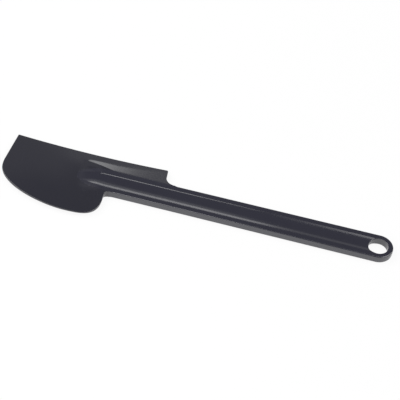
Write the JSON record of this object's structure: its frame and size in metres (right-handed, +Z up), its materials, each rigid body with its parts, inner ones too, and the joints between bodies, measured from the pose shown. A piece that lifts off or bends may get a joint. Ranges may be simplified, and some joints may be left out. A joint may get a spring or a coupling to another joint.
{
  "type": "heat-resistant spatula",
  "caption": "Flat bowl-scraping spatula: a long channelled handle with a hanging eye, its spear-shaped spine moulded into a thin flexible blade with a straight edge and a curved belly.",
  "frame": {"origin": "under the middle of the overall length and width, on the plane that the handle's underside rims lie on", "axes": "+X along the handle from the blade to the hanging eye, +Y towards the blade's straight edge, +Z up out of the upper face"},
  "size_m": [0.25, 0.0528, 0.0051],
  "materials": {
    "handle_nylon": "semi-gloss moulded",
    "blade_elastomer": "satin moulded"
  },
  "bodies": {
    "root": {"handle": "handle_nylon", "blade": "blade_elastomer"}
  },
  "joints": []
}
